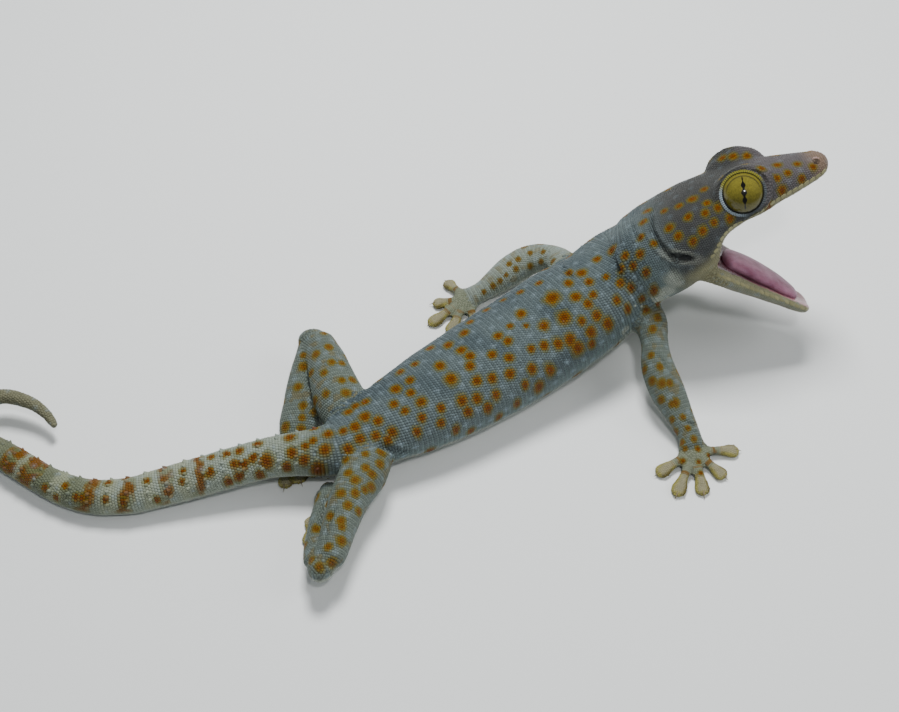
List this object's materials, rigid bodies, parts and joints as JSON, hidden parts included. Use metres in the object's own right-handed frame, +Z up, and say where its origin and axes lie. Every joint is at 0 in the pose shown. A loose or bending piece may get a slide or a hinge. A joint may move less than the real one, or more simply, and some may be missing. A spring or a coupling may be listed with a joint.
{
  "type": "tokay gecko",
  "caption": "Life-size still model of a tokay gecko lying on its belly, head raised and turned, mouth open, one foreleg stretched out and the tail tip curled.",
  "frame": {"origin": "the middle of the underside of the whole model, on the floor it lies on", "axes": "+Z up; +X along the trunk towards the head, the longest extent; +Y to the animal's left"},
  "size_m": [0.2026, 0.1192, 0.0494],
  "materials": {
    "skin": "granular scales, blue-grey with rust-orange spots",
    "eye": "glossy olive-yellow with a dark upright slit pupil",
    "mouth": "moist pink-purple"
  },
  "bodies": {
    "root": {"head": "skin", "lower_jaw": "skin", "neck": "skin", "chest": "skin", "belly": "skin", "hips": "skin", "tail_base": "skin", "tail_middle": "skin", "tail_end": "skin", "tail_tip": "skin", "upper_arm_right": "skin", "forearm_right": "skin", "hand_right": "skin", "thigh_right": "skin", "shank_right": "skin", "foot_right": "skin", "upper_arm_left": "skin", "forearm_left": "skin", "hand_left": "skin", "thigh_left": "skin", "shank_left": "skin", "foot_left": "skin", "eye_left": "eye", "eye_right": "eye", "tongue": "mouth"}
  },
  "joints": []
}
